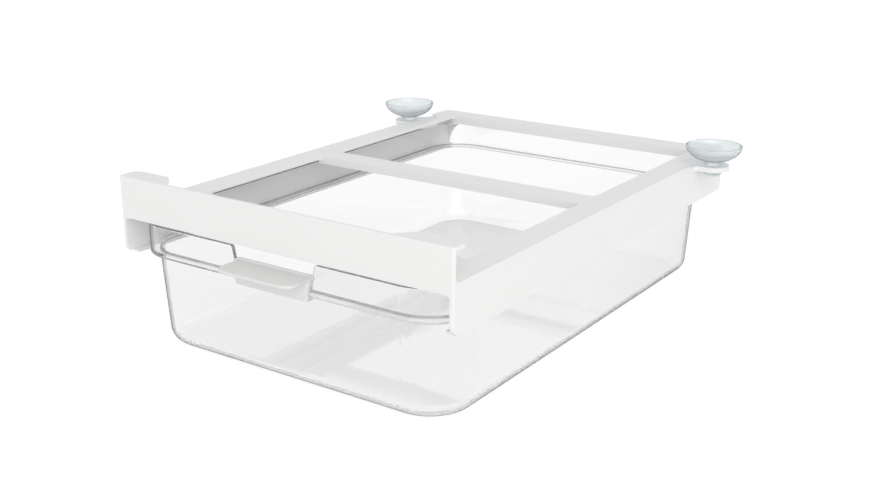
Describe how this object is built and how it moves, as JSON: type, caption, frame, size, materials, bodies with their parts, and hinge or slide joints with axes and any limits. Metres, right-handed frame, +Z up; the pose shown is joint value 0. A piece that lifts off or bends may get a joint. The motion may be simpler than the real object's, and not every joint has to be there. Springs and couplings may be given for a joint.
{
  "type": "under-shelf fridge drawer",
  "caption": "Clip-on fridge drawer: a white frame hooks under a shelf and carries a clear pull-out bin on two side rails, held at the back by suction cups.",
  "frame": {"origin": "middle of the underside of the whole object's box, which is the plane that the bin stands on", "axes": "+Z up, +X to the right as seen by someone who faces the pull, -Y towards that person (the way the bin pulls out), +Y to the back"},
  "size_m": [0.2604, 0.321, 0.093],
  "materials": {
    "white_plastic": "injection-moulded white plastic, satin gloss",
    "clear_plastic": "injection-moulded clear plastic, polished",
    "clear_vinyl": "soft clear vinyl with a bluish tint, glossy"
  },
  "bodies": {
    "frame": {"frame": "white_plastic"},
    "drawer": {"bin": "clear_plastic", "pull": "white_plastic"},
    "left_cup": {"left_suction_cup": "clear_vinyl"},
    "right_cup": {"right_suction_cup": "clear_vinyl"}
  },
  "joints": [
    {"name": "drawer_slide", "type": "slide", "parent": "frame", "child": "drawer", "axis": [0, -1, 0], "range_m": [0, 0.225]},
    {"name": "left_cup_turn", "type": "hinge", "parent": "frame", "child": "left_cup", "pos_m": [-0.1134, 0.1245, 0.0745], "axis": [0, 0, 1], "continuous": true},
    {"name": "right_cup_turn", "type": "hinge", "parent": "frame", "child": "right_cup", "pos_m": [0.1134, 0.1245, 0.0745], "axis": [0, 0, 1], "continuous": true}
  ]
}
